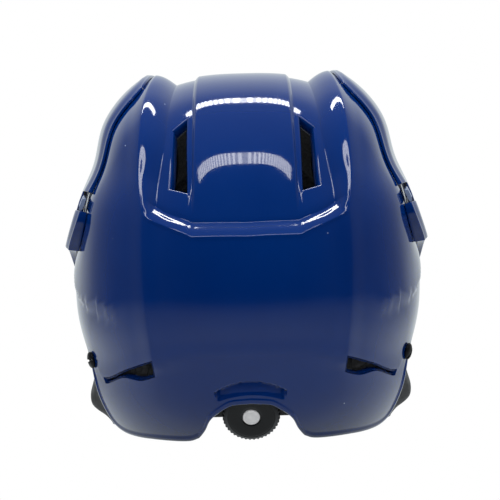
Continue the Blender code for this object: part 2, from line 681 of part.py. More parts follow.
def build_levers(front, plastic, metal):
    """Tool-free levers that lock the two shells, each on a pin across a notch in the front shell."""
    for tag, sign in (("left", -1), ("right", 1)):
        pin, length, turn = lever_frame(sign)
        along, up, _ = (turn.col[i] for i in range(3))
        lever = block("lever_" + tag, (length + 1.0, LEVER_WIDTH, LEVER_THICKNESS),
                      pin - along * (length - 1.0) / 2, plastic, turn, 0.6)
        drill(lever, "lever_bore", pin, up, LEVER_BORE, 12, metal)
        drill(front, "pin_bore", pin, up, LEVER_PIN_RADIUS + TOUCH / 2, 7.6, metal)
        turned("lever_pin_" + tag, [(0, -7.4), (LEVER_PIN_RADIUS, -7.4), (LEVER_PIN_RADIUS, 7.4),
                                    (0, 7.4)], metal, 12, pin, up)


def build():
    clear_scene()
    paint = material("shell_blue", (0.008, 0.028, 0.16), 0.12)
    foam = material("liner_foam", (0.02, 0.02, 0.022), 0.8)
    fabric = material("pad_fabric", (0.03, 0.03, 0.035), 0.9)
    black = material("black_plastic", (0.012, 0.012, 0.014), 0.4)
    charcoal = material("dial_plastic", (0.03, 0.03, 0.034), 0.3)
    cap = material("cap_plastic", (0.8, 0.8, 0.8), 0.35)
    dark_metal = material("dark_metal", (0.02, 0.02, 0.02), 0.35, 0.6)

    rear, front = build_shells(paint)
    build_liners(foam)
    build_pads(fabric)
    guards = build_ear_guards(black)
    build_fasteners(rear, front, guards, dark_metal)
    build_dial(charcoal, black, cap)
    build_cradle(black, fabric)
    build_levers(front, paint, dark_metal)


build()
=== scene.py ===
"""Looks of the two-piece hockey helmet: fine shells, foam, pads, plastics, camera and light.

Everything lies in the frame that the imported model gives. Lengths below are millimetres; meshes are
scaled to metres when they are made.
"""
import math

import bmesh
import bpy
import numpy as np
from mathutils import Matrix, Vector

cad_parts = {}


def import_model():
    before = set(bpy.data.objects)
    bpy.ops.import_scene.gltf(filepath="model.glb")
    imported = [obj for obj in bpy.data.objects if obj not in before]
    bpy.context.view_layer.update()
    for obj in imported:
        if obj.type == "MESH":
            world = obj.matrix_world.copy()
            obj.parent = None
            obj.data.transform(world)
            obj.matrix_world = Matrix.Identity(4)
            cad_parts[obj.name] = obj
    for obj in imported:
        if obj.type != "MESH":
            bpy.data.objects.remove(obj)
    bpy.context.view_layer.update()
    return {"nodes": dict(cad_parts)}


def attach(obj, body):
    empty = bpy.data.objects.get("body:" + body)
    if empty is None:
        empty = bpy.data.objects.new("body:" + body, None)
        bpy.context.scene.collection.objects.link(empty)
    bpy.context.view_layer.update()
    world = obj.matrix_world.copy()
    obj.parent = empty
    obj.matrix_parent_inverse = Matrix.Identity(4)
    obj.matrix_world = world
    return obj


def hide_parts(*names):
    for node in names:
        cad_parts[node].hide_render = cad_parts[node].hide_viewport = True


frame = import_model()

MM = 0.001                       # metres in a millimetre
MIDDLE = np.array((0.0, 3.88, 0.0))     # middle of the helmet's base, the frame's origin

# ---- dimensions shared with the design (mm) ----
HALF_WIDTH = 106.0               # head form, centre plane to side
WAIST = 5.0                      # how far the sides are drawn in at the waist under the crown
WAIST_Z = 160.0
WAIST_SPREAD = 17.0
SHOULDER = 3.8                   # how much narrower the form is under the front shell
HIP = 3.4                        # and low down beside the ears
HIP_Z = 46.0
HIP_SPREAD = 18.0
PIVOT_Z = 75.0                   # height of the left-right axis of the head form
PROFILE = ((-90, 110), (-75, 112), (-60, 118), (-42, 123.5), (-28, 126), (-16, 127), (0, 129.5),
           (9, 131), (15, 132.5), (30, 136.5), (49, 141), (70, 144), (90, 144.5), (110, 143),
           (130, 140.5), (150, 138), (165, 136), (180, 134), (200, 128), (225, 117), (250, 110),
           (270, 110))           # (angle from straight back, over the crown; radius)
SHELL = 2.6                      # shell wall
RECESS = 9.5                     # depth of the vent channels under the ridges
SPINE = 2.0                      # height of the centre spine over the channels
SHELL_CLEARANCE = 1.4            # between the two shells where they overlap
TONGUE_DROP = 10.0               # how much lower the rear shell's tongue lies under the front one
EDGE_FLARE = 3.4                 # how far the wing's lower edge stands out
REAR_FLARE = 1.6                 # and its rear edge
LINER_GAP = 1.2                  # between a shell and its liner
LINER_DEPTH = 20.0               # head form to the inside of the liners
PAD_GAP = 1.0
PAD = 5.5                        # comfort pad thickness
GUARD = 2.4                      # ear guard wall
SIDES = (("left", -1), ("right", 1))


# ---- curves and the head form ----
def hermite(t, start, end, first, last, h=1):
    """Cubic from start to end with the slopes first and last, over a span of width h."""
    return ((2 * t**3 - 3 * t**2 + 1) * start + (t**3 - 2 * t**2 + t) * h * first
            + (3 * t**2 - 2 * t**3) * end + (t**3 - t**2) * h * last)


def shared_slope(left, right):
    """Slope between two chords that keeps the curve monotone."""
    total = left + right
    safe = np.where(np.abs(total) > 1e-12, total, 1.0)
    return np.where(left * right > 0, 2 * left * right / safe, 0)


def smooth(xs, ys, x):
    """Monotone cubic through the points (xs, ys); ys may hold vectors."""
    xs = np.asarray(xs, float)
    ys = np.asarray(ys, float)
    spans = np.diff(xs)
    if ys.ndim > 1:
        spans = spans[:, None]
    slope = np.diff(ys, axis=0) / spans
    tangent = np.zeros_like(ys)
    tangent[1:-1] = shared_slope(slope[:-1], slope[1:])
    tangent[0] = slope[0]
    tangent[-1] = slope[-1]
    x = np.clip(x, xs[0], xs[-1])
    i = np.clip(np.searchsorted(xs, x, side="right") - 1, 0, len(xs) - 2)
    h = xs[i + 1] - xs[i]
    t = (x - xs[i]) / h
    if ys.ndim > 1:
        h = h[..., None]
        t = t[..., None]
    return hermite(t, ys[i], ys[i + 1], tangent[i], tangent[i + 1], h)


PROFILE_ANGLES, PROFILE_RADII = zip(*PROFILE)


def step(t):
    """0 to 1 over t = 0 to 1, level at both ends."""
    t = np.clip(t, 0, 1)
    return t * t * (3 - 2 * t)


def squareness(angle):
    """Exponent of the left-right section: squarer over the crown than around the back."""
    return 2.55 + 0.25 * np.clip(np.sin(np.radians(angle)), 0, 1)


def form(points):
    """1 on the head form, less inside, more outside."""
    x = points[..., 0]
    y = points[..., 1]
    z = points[..., 2] - PIVOT_Z
    angle = np.degrees(np.arctan2(z, -y))
    angle = np.where(angle < -90, angle + 360, angle)
    n = squareness(angle)
    radius = smooth(PROFILE_ANGLES, PROFILE_RADII, angle)
    height = z + PIVOT_Z
    width = (HALF_WIDTH - WAIST * np.exp(-((height - WAIST_Z) / WAIST_SPREAD)**2)
             - HIP * np.exp(-((height - HIP_Z) / HIP_SPREAD)**2)
             - SHOULDER * step((y + 72) / 38) * step((height - 95) / 30))
    return ((np.abs(x) / width)**n + (np.hypot(y, z) / radius)**n)**(1 / n)


def onto_form(points):
    """Moves points onto the head form along rays from its centre."""
    centre = np.array((0.0, 0.0, PIVOT_Z))
    return centre + (points - centre) / form(points)[..., None]


def form_normal(points):
    reach = 0.5
    axes = np.eye(3) * reach
    grad = np.stack([form(points + a) - form(points - a) for a in axes], axis=-1)
    return grad / np.linalg.norm(grad, axis=-1, keepdims=True)


def arc(angle, x):
    """Point of the form at a profile angle and a distance x from the centre plane."""
    n = squareness(angle)
    radius = smooth(PROFILE_ANGLES, PROFILE_RADII, angle) * (1 - (x / HALF_WIDTH)**n)**(1 / n)
    a = math.radians(angle)
    return (x, -radius * math.cos(a), PIVOT_Z + radius * math.sin(a))


def out_to_form(place, high):
    """The point place(reach) that lies on the form, for a reach of 0 to high."""
    low = 0.0
    for _ in range(40):
        reach = (low + high) / 2
        if form(np.array(place(reach))) < 1:
            low = reach
        else:
            high = reach
    return place(reach)


def side(y, z):
    """Point of the form at a place in the side view."""
    return out_to_form(lambda x: (x, y, z), HALF_WIDTH)


def back(x, z):
    """Point of the form at a place in the rear view."""
    return out_to_form(lambda y: (x, -y, z), 160.0)


# ---- nets: rows of (column, point), from the lower or rear edge to the upper or front edge ----
def on(place, *entries):
    """Net points from (column, a, b), where place makes the point from a and b."""
    return tuple((column, place(a, b)) for column, a, b in entries)


def crown(angle):
    """Columns 0 to 4 straight across the crown."""
    return on(arc, *((column, angle, x) for column, x in enumerate((0, 27.5, 33, 40, 43.5))))


REAR_NET = (
    # p0, lower edge: arch over the dial, lobe, edge behind the ear
    on(back, (0, 0, 26), (0.35, 10.2, 25.2), (0.65, 20, 19.4), (0.8, 24.6, 14.5), (0.9, 27.5, 8),
        (1, 31, 3), (2, 36, 0.9), (3, 46, 0.4), (4, 52, 0.4), (5, 58, 0.4), (5.4, 70, 0.5),
        (5.6, 76.5, 1.8), (5.8, 82, 6), (6, 87, 15))
    + on(side, (6.25, -60, 29), (6.5, -54, 42), (6.75, -44, 52), (7, -33, 60)),
    # p1, lower side of the wedge vent
    on(back, (0, 0, 44), (1, 31, 43.5), (2, 36, 43), (3, 45, 42.4), (4, 50, 42), (5, 54.3, 41.8),
        (5.33, 64, 38.6), (5.6, 72, 39.6), (6, 85.5, 33.2))
    + on(side, (6.5, -56, 53), (7, -29, 66)),
    # p2, upper side of the wedge vent
    on(back, (0, 0, 55.5), (1, 31, 55), (2, 36, 54.5), (3, 45, 53), (4, 50, 53), (5, 54.6, 52.6),
        (5.5, 70.5, 45.6), (6, 86.5, 37))
    + on(side, (6.5, -57, 61), (7, -27, 72)),
    # p3, top of the lower panel
    on(back, (0, 0, 122.5), (1, 31, 123), (2, 34, 124.4), (3, 47, 129.5), (4, 54.5, 132.5),
        (5, 58.5, 134.5), (6, 84, 122))
    + on(side, (6.5, -58, 92), (7, -26, 78)),
    # p4, foot of the ledge
    on(back, (0, 0, 132), (1, 30.5, 132.3), (2, 34, 133.5), (3, 47.5, 138), (4, 54, 141.5),
        (5, 59.5, 143.5), (6, 83.5, 131))
    + on(side, (6.5, -56, 100), (7, -26, 82)),
    # p5, lower end of the tall vent
    on(back, (0, 0, 146), (1, 30, 146), (2, 33.5, 148.3), (3, 47.2, 151.8), (4, 53.5, 154),
        (5, 60.8, 156), (6, 83, 142))
    + on(side, (6.5, -53, 110), (7, -26, 86)),
    # p6, upper end of the tall vent
    on(back, (0, 0, 198), (1, 28.5, 197), (2, 33.5, 196), (3, 45.3, 187.7), (4, 48.5, 186),
        (5, 59.5, 186), (6, 81, 163))
    + on(side, (6.5, -46, 127), (7, -28, 90)),
    # p7, crown
    crown(88) + on(arc, (5, 88, 53),
        (5.5, 84, 66))
    + on(side, (6, -42, 178), (6.5, -41, 134), (7, -30, 94)),
    # p8, under the rear edge of the front shell
    crown(102) + on(arc, (5, 101, 53))
    + on(side, (5.5, -8, 198), (6, -37, 181), (6.5, -41, 137), (7, -31, 95.5)),
    # p9, front edge, hidden under the front shell
    crown(114) + on(arc, (5, 113, 53))
    + on(side, (5.5, 4, 195), (6, -31, 184), (6.5, -37, 140), (7, -32, 97)),
)

FRONT_NET = (
    # p0, rear edge: over the crown, then down the wing
    crown(102) + on(arc, (5, 101, 53),
        (5.15, 92, 56), (5.3, 80, 59.5))
    + on(back, (5.5, 66.5, 197))
    + on(side, (6, -41, 182), (6.5, -50, 165), (7, -57, 146.5), (7.5, -65, 127), (8, -56, 110)),
    crown(116) + on(arc, (5, 115, 53))
    + on(side, (5.5, 20, 194), (6, -16, 184), (6.5, -20, 165), (7, -24, 144), (7.5, -31, 125),
          (8, -32, 111)),
    on(arc, (0, 128, 0), (1, 128, 26), (2, 128, 32), (3, 126, 41), (4, 126, 45), (5, 127, 54))
    + on(side, (5.5, 48, 180), (6, 20, 174), (6.5, 14, 156), (7, 8, 134), (7.5, 3, 116),
          (8, 0, 104)),
    on(arc, (0, 147, 0), (1, 147, 24), (2, 147, 30), (3, 143, 42), (4, 143, 47), (5, 145, 56))
    + on(side, (5.5, 82, 149), (6, 58, 152), (6.5, 47, 140), (7, 37, 122), (7.5, 31, 104),
          (8, 27, 86)),
    on(arc, (0, 158, 0), (1, 158, 23), (2, 158, 29), (3, 156, 42), (4, 156, 48), (5, 157, 57),
        (5.5, 157, 70))
    + on(side, (6, 84, 118), (6.5, 72, 107), (7, 60, 92), (7.5, 50, 72), (8, 42, 50)),
    # p5, brow edge and the front of the temple lobe
    on(arc, (0, 169, 0), (1, 169, 22), (2, 169, 28), (3, 169, 42), (4, 169, 48), (5, 170, 57),
        (5.5, 171, 69))
    + on(side, (6, 102, 90), (6.5, 97, 80), (7, 88, 67), (7.5, 77, 50), (8, 60, 40)),
)

GUARD_NET = (
    on(side, (0, -48, 0), (1, -28, 0), (2, -7, 0), (3, 14, 0), (4, 33, 0)),
    on(side, (0, -60, 18), (1, -34, 18), (2, -8, 18), (3, 15, 18), (4, 38, 18)),
    on(side, (0, -70, 40), (1, -40, 39), (2, -8, 38), (3, 16, 38), (4, 40, 38)),
    on(side, (0, -60, 62), (1, -35, 61), (2, -8, 60), (3, 15, 60), (4, 37, 60)),
    on(side, (0, -38, 84), (1, -26, 86), (2, -8, 87), (3, 10, 86), (4, 24, 82)),
)


def net_lines(net, columns):
    return np.array([smooth(*zip(*row), np.abs(columns)) for row in net])


def lay_out(net, rows, columns):
    """Points and outward normals of the form at every (row, column) of a net."""
    columns = np.asarray(columns, float)
    lines = net_lines(net, columns)
    rows = np.asarray(rows, float)
    grid = np.stack([smooth(range(len(net)), lines[:, j], rows) for j in range(len(columns))],
                    axis=1)
    grid[..., 0] *= np.where(columns < 0, -1, 1)
    grid = onto_form(grid)
    return grid, form_normal(grid)


# ---- relief of the shells, in mm along the form's normal ----
def ramp(t, soft=0.35):
    """0 to 1 over t = 0 to 1, rounded at both ends and straight in between."""
    t = np.clip(t, 0, 1)
    bent = t * t * (3 - 2 * t)
    return soft * bent + (1 - soft) * t


def recess_across(q, spine=1.0):
    """Depth across the crown: spine, channel, then the wall up to the ridge."""
    q = np.abs(q)
    floor = -RECESS + SPINE * spine * (1 - ramp((q - 1) / 0.5))
    return floor * (1 - ramp((q - 4) / 1))


def rear_relief(p, q):
    return recess_across(q) * ramp(p - 3)


def front_relief(p, q):
    return recess_across(q) * (1 - ramp(p - 3))


def tongue_drop(normals):
    """The rear shell's tongue lies lower, so that the front shell can slide back over it."""
    return -TONGUE_DROP * np.clip(normals[..., 1], 0, 1)


def front_standoff(p, q):
    """Height of the front shell over the form: it clears the rear shell, and its wing flares."""
    q = np.abs(q)
    lower = EDGE_FLARE * step((q - 6.9) / 1.1) * (1 - step((p - 1.6) / 1.4))
    rear = REAR_FLARE * step((q - 6.7) / 0.8) * (1 - step(p / 1.1))
    return SHELL_CLEARANCE + SHELL + lower + rear


def fold(distance, height, width, soft=0.5):
    """A crease raised by height at distance 0 that fades out over width."""
    reach = np.clip(1 - (np.sqrt(distance**2 + soft**2) - soft) / width, 0, 1)
    return height * reach * (2 - reach) * reach


# ---- fine grids and skins ----
def cells(breaks, counts):
    """Lines from break to break, closer together near each break."""
    lines = [np.array([float(breaks[0])])]
    for a, b, count in zip(breaks, breaks[1:], counts):
        t = np.arange(1, count + 1) / count
        lines.append(a + (b - a) * (t - 0.07 * np.sin(2 * np.pi * t)))
    return np.concatenate(lines)


def mirrored(half):
    return np.concatenate([-half[:0:-1], half])


ROUND = [math.radians(a) for a in (22, 45, 68, 90)]


def round_rim(depth, bulge, radius):
    """Rings around a free edge as (how far out, how far down) for a wall of that depth."""
    radius = min(radius, 0.48 * depth)
    down = [(bulge * math.sin(a), radius * (1 - math.cos(a))) for a in ROUND]
    return down + [(u, depth - w) for u, w in reversed(down)]


def vent_rim(depth, inset, drop):
    """A lip that turns in and down around a vent, then comes back to the inner face."""
    return [(0.25 * inset, 0.06), (0.6 * inset, 0.35), (0.85 * inset, 0.95), (inset, 2.0),
            (inset * 1.05, drop - 0.5), (inset * 0.9, drop), (0.35 * inset, drop - 0.1),
            (0.05, depth + 0.2)]


def wedge_rim(inset, drop):
    """A narrow groove, a raised inner lip, then the wall of the vent."""
    across = ((0.09, 0.15), (0.2, 1.3), (0.5, 1.5), (0.68, 0.75), (1.0, 0.5), (1.15, 0.8),
              (1.25, drop), (0.2, drop))
    return [(inset * u, w) for u, w in across]


def skin(outer, inner, open_cells, rim, vent=None):
    """Vertices and faces of a closed wall between two grids, with shaped rims at its edges."""
    rows, columns = outer.shape[:2]
    filled = np.ones((rows + 1, columns + 1), bool)
    filled[0] = filled[-1] = filled[:, 0] = filled[:, -1] = False
    filled[1:-1, 1:-1] &= ~open_cells
    index = np.arange(rows * columns).reshape(rows, columns)
    a, b = index[:-1, :-1], index[:-1, 1:]
    c, d = index[1:, 1:], index[1:, :-1]
    solid = filled[1:-1, 1:-1]
    quads = np.stack([a, b, c, d], axis=-1)[solid]
    under = rows * columns
    faces = [tuple(q) for q in quads.tolist()]
    faces += [tuple(v + under for v in reversed(q)) for q in quads.tolist()]
    top = outer.reshape(-1, 3)
    bottom = inner.reshape(-1, 3)
    edges = []
    for start, end, di, dj in ((a, b, -1, 0), (b, c, 0, 1), (c, d, 1, 0), (d, a, 0, -1)):
        beside = filled[1 + di:rows + di, 1 + dj:columns + dj]
        free = solid & ~beside
        edges += list(zip(start[free].tolist(), end[free].tolist()))
    out = {}
    for start, end in edges:
        along = top[end] - top[start]
        down = bottom[start] - top[start]
        away = np.cross(down, along)
        away /= max(np.linalg.norm(away), 1e-9)
        for v in (start, end):
            out[v] = out.get(v, 0) + away
    vertices = [top, bottom]
    count = 2 * under
    rings = {}
    for v, away in out.items():
        i, j = divmod(v, columns)
        away = away / max(np.linalg.norm(away), 1e-9)
        wall = bottom[v] - top[v]
        depth = np.linalg.norm(wall)
        wall = wall / depth
        edge = i in (0, rows - 1) or j in (0, columns - 1)
        profile = rim(depth) if edge or vent is None else vent(depth, i, j)
        vertices.append(np.array([top[v] + away * u + wall * w for u, w in profile]))
        rings[v] = [v] + list(range(count, count + len(profile))) + [v + under]
        count += len(profile)
    for start, end in edges:
        s, e = rings[start], rings[end]
        for k in range(len(s) - 1):
            faces.append((e[k], s[k], s[k + 1], e[k + 1]))
    return np.concatenate(vertices), faces


def mesh_of(name, vertices, faces, smooth_angle=50):
    mesh = bpy.data.meshes.new(name)
    mesh.from_pydata(((np.asarray(vertices, float) - MIDDLE) * MM).tolist(), [], faces)
    bm = bmesh.new()
    bm.from_mesh(mesh)
    bmesh.ops.delete(bm, geom=[v for v in bm.verts if not v.link_faces], context="VERTS")
    bmesh.ops.recalc_face_normals(bm, faces=bm.faces)
    bm.to_mesh(mesh)
    bm.free()
    mesh.shade_smooth()
    mesh.set_sharp_from_angle(angle=math.radians(smooth_angle))
    return mesh


def linked(name, data):
    obj = bpy.data.objects.new(name, data)
    bpy.context.scene.collection.objects.link(obj)
    return obj


def piece(name, mesh, look, body, slot, *nodes):
    """A shown piece that rides on a body and stands for CAD nodes."""
    obj = linked(name, mesh)
    mesh.materials.clear()
    mesh.materials.append(look)
    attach(obj, body)
    if nodes:
        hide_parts(*nodes)
    return obj


# ---- looks ----
def map_range(tree, source, low, high, to_low=0.0, to_high=1.0):
    made = tree.nodes.new("ShaderNodeMapRange")
    for name, value in (("From Min", low), ("From Max", high), ("To Min", to_low),
                        ("To Max", to_high)):
        made.inputs[name].default_value = value
    tree.links.new(source, made.inputs["Value"])
    return made.outputs["Result"]


class Look:
    """A node material under construction."""

    def __init__(self, name):
        self.material = bpy.data.materials.new(name)
        self.material.use_nodes = True
        self.tree = self.material.node_tree
        self.shader = self.tree.nodes["Principled BSDF"]
        self.place = self.node("ShaderNodeTexCoord").outputs["Object"]

    def node(self, kind, **values):
        made = self.tree.nodes.new(kind)
        for key, value in values.items():
            if hasattr(made, key):
                setattr(made, key, value)
            else:
                made.inputs[key.replace("_", " ")].default_value = value
        return made

    def link(self, source, target):
        self.tree.links.new(source, target)

    def noise(self, scale, detail=2.0, roughness=0.5, distortion=0.0, stretch=None):
        made = self.node("ShaderNodeTexNoise", Scale=scale, Detail=detail, Roughness=roughness,
                         Distortion=distortion)
        self.link(self.stretched(stretch), made.inputs["Vector"])
        return made.outputs["Fac"]

    def cellular(self, scale, feature="F1", output="Distance", stretch=None):
        made = self.node("ShaderNodeTexVoronoi", feature=feature, Scale=scale)
        self.link(self.stretched(stretch), made.inputs["Vector"])
        return made.outputs[output]

    def stretched(self, stretch):
        if stretch is None:
            return self.place
        made = self.node("ShaderNodeMapping")
        made.inputs["Scale"].default_value = stretch
        self.link(self.place, made.inputs["Vector"])
        return made.outputs["Vector"]

    def spread(self, source, low, high, to_low=0.0, to_high=1.0):
        return map_range(self.tree, source, low, high, to_low, to_high)

    def maths(self, operation, first, second):
        made = self.node("ShaderNodeMath", operation=operation)
        for socket, value in zip(made.inputs, (first, second)):
            if isinstance(value, (int, float)):
                socket.default_value = value
            else:
                self.link(value, socket)
        return made.outputs[0]

    def mixed(self, factor, first, second):
        made = self.node("ShaderNodeMix", data_type="RGBA")
        self.link(factor, made.inputs["Factor"])
        for socket, value in ((made.inputs[6], first), (made.inputs[7], second)):
            if isinstance(value, tuple):
                socket.default_value = (*value, 1)
            else:
                self.link(value, socket)
        return made.outputs[2]

    def colour(self, source):
        self.link(source, self.shader.inputs["Base Color"])

    def rough(self, source):
        self.link(source, self.shader.inputs["Roughness"])

    def bump(self, source, strength, distance, after=None):
        made = self.node("ShaderNodeBump")
        made.inputs["Strength"].default_value = strength
        made.inputs["Distance"].default_value = distance
        self.link(source, made.inputs["Height"])
        if after is not None:
            self.link(after, made.inputs["Normal"])
        self.link(made.outputs["Normal"], self.shader.inputs["Normal"])
        return made.outputs["Normal"]

    def set(self, **values):
        for key, value in values.items():
            self.shader.inputs[key.replace("_", " ")].default_value = value
        return self.material


def paint_look():
    """Glossy moulded blue plastic: faint ripple, fine rubbed haze, a few specks of dust."""
    look = Look("helmet_blue_gloss")
    drift = look.spread(look.noise(14, 3), 0.3, 0.7)
    base = look.mixed(drift, (0.0, 0.0125, 0.088), (0.0, 0.0155, 0.102))
    spots = look.cellular(260)
    chance = look.cellular(260, output="Color")
    rare = look.spread(chance, 0.93, 0.95)
    dust = look.maths("MULTIPLY", look.spread(spots, 0.13, 0.06), rare)
    look.colour(look.mixed(dust, base, (0.3, 0.34, 0.42)))
    haze = look.spread(look.noise(55, 4, 0.6, 0.4), 0.35, 0.75, 0.045, 0.09)
    look.rough(look.maths("ADD", haze, look.maths("MULTIPLY", dust, 0.4)))
    ripple = look.noise(160, 1.5)
    first = look.bump(ripple, 0.05, 0.0006)
    scuffs = look.cellular(90, "DISTANCE_TO_EDGE", stretch=(1, 1, 5))
    look.bump(look.spread(scuffs, 0.0, 0.01), 0.015, 0.0002, first)
    return look.set(Specular_IOR_Level=0.4, Coat_Weight=0.7, Coat_Roughness=0.012)


def foam_look():
    """Moulded bead foam: packed beads a few millimetres across, dull and black."""
    look = Look("bead_foam")
    seams = look.cellular(330, "DISTANCE_TO_EDGE")
    beads = look.cellular(330, output="Color")
    tone = look.mixed(look.spread(beads, 0.1, 0.9), (0.007, 0.007, 0.008), (0.018, 0.018, 0.02))
    look.colour(look.mixed(look.spread(seams, 0.0, 0.06), (0.003, 0.003, 0.003), tone))
    look.rough(look.spread(look.noise(900), 0.3, 0.7, 0.62, 0.85))
    first = look.bump(look.spread(seams, 0.0, 0.16), 0.6, 0.0005)
    look.bump(look.noise(2600, 2), 0.25, 0.0001, first)
    return look.set(Specular_IOR_Level=0.35)


def fabric_look():
    """Brushed knit over comfort foam: fine courses and wales, soft sheen, a little lint."""
    look = Look("pad_knit")
    knit = look.cellular(1500, stretch=(1, 1, 0.7))
    broad = look.spread(look.noise(60, 3), 0.3, 0.7)
    tone = look.mixed(broad, (0.018, 0.018, 0.02), (0.034, 0.034, 0.038))
    look.colour(look.mixed(look.spread(knit, 0.0, 0.55), tone, (0.008, 0.008, 0.009)))
    look.rough(look.spread(look.noise(700), 0.3, 0.7, 0.82, 0.97))
    first = look.bump(knit, 0.5, 0.00025)
    look.bump(look.noise(220, 3), 0.2, 0.0006, first)
    return look.set(Sheen_Weight=0.35, Sheen_Roughness=0.5)


def plastic_look(name, dark, light, low, high, grain=2300, strength=0.25):
    """Moulded plastic with a spark-eroded grain and rubbed high spots."""
    look = Look(name)
    drift = look.spread(look.noise(120, 4, 0.6), 0.3, 0.7)
    look.colour(look.mixed(drift, dark, light))
    look.rough(look.spread(look.noise(260, 3), 0.3, 0.7, low, high))
    look.bump(look.noise(grain, 2), strength, 0.00012)
    return look.set(Specular_IOR_Level=0.5)


def metal_look():
    """Black-finished steel with turning marks and bare flecks on the edges."""
    look = Look("black_steel")
    worn = look.spread(look.noise(500, 5, 0.7), 0.62, 0.78)
    look.colour(look.mixed(worn, (0.012, 0.012, 0.013), (0.09, 0.09, 0.095)))
    look.rough(look.spread(look.noise(900, 2), 0.3, 0.7, 0.28, 0.5))
    look.bump(look.noise(3200, 1), 0.2, 0.00008)
    return look.set(Metallic=0.55, Specular_IOR_Level=0.5)


def badge_look():
    """White cap print with a plain ring."""
    look = Look("cap_white")
    drift = look.spread(look.noise(300, 3), 0.3, 0.7)
    look.colour(look.mixed(drift, (0.62, 0.63, 0.64), (0.74, 0.75, 0.76)))
    look.rough(look.spread(look.noise(700, 2), 0.3, 0.7, 0.3, 0.45))
    look.bump(look.noise(1800, 2), 0.1, 0.00008)
    return look.set(Specular_IOR_Level=0.5)


LOOKS = {
    "shell": paint_look(),
    "foam": foam_look(),
    "pad": fabric_look(),
    "black": plastic_look("black_moulded", (0.012, 0.012, 0.013), (0.022, 0.022, 0.024),
                          0.42, 0.6),
    "dial": plastic_look("charcoal_moulded", (0.014, 0.0145, 0.016), (0.022, 0.023, 0.025),
                         0.34, 0.46, 1900, 0.15),
    "lever": plastic_look("lever_blue", (0.11, 0.15, 0.25), (0.13, 0.175, 0.29),
                          0.18, 0.3, 1700, 0.1),
    "face": plastic_look("dial_face", (0.003, 0.0033, 0.004), (0.005, 0.0055, 0.006),
                         0.16, 0.24, 1900, 0.06),
    "cap": badge_look(),
    "metal": metal_look(),
}


# ---- shells ----
# openings as (first row, last row, first column, last column) of their net
TALL_VENT = (5, 6, 2, 3)
WEDGE_VENT = (1, 2, 5, 6)
BROW_VENT = (2, 3, 2, 3)
SIDE_VENT = (3, 4, 6, 6.5)
LEVER_NOTCH = (0, 0.78, 7.06, 7.35)

SEAM_REACH = 11.0                # width of the front shell's rolled rear edge
SEAM_ROLL = 1.9                  # how far its outside is rolled down
RIDGE_FOLD = (1.3, 9.0, 0.45)    # height, width and softness of the ridge creases
GROUND = 0.15                    # the rear shell's lowest height


def crease_gap(grid, axis, line, along):
    """Distance in mm, along one axis, of each grid point from the grid line at index line."""
    picked = np.take(grid, [line], axis=along)
    return np.abs(grid[..., axis]) - np.abs(picked[..., axis])


def open_areas(rows, columns, areas):
    p = (rows[:-1] + rows[1:])[:, None] / 2
    q = np.abs(columns[:-1] + columns[1:])[None, :] / 2
    found = np.zeros((len(rows) - 1, len(columns) - 1), bool)
    for p0, p1, q0, q1 in areas:
        found |= (p > p0) & (p < p1) & (q > q0) & (q < q1)
    return found


def nearest(lines, value):
    return int(np.argmin(np.abs(lines - value)))


def rear_details(rows, columns, p, q, grid):
    """Creases, lip, dial recess and moulded lines of the rear shell, over its relief."""
    x, z = np.abs(grid[..., 0]), grid[..., 2]
    behind = step((-grid[..., 1] - 20) / 30)
    a = np.abs(q)
    k5 = nearest(columns, 5)
    ridge = crease_gap(grid, 0, k5, 1)
    height = fold(ridge, *RIDGE_FOLD) * step((p - 0.6) / 1.2) * (1 - step((p - 8) / 1))
    level2 = crease_gap(grid, 2, nearest(rows, 2), 0)
    height += fold(level2, 0.9, 10.0, 0.9) * (1 - step((a - 5.2) / 1.2))
    level3 = crease_gap(grid, 2, nearest(rows, 3), 0)
    height += fold(level3, 0.35, 2.2, 0.25) * (1 - step((a - 4.6) / 0.6))
    # rolled lip along the lower edge
    run = np.linalg.norm(grid - grid[:1], axis=-1)
    height += 0.8 * (1 - step((run - 2.0) / 1.2)) * (1 - step((a - 6.2) / 0.5))
    # arc recess above the dial
    top = 39.8 - 6.8 * (x / 20.8)**2
    low = 30.6 - 3.0 * (x / 18.2)**2
    inside = np.minimum(np.minimum(top - z, z - low), 20.9 - x + 0.28 * (z - 33))
    slope = 1 - 0.9 * np.clip((top - z) / 9.0, 0, 1)
    height -= 4.2 * slope * step(inside / 1.5) * (grid[..., 1] < 0)
    # moulded line that runs forward from the flank to the seam
    line = np.interp(x, (70, 78, 84, 90, 96, 100, 103, 104.5),
                     (76, 76.6, 78, 80, 80.6, 82.5, 88, 96))
    over = z - line
    flank = step((x - 71) / 10) * behind
    height += 1.5 * step((over + 0.4) / 0.8) * np.exp(-np.clip(over, 0, None) / 20) * flank
    return height


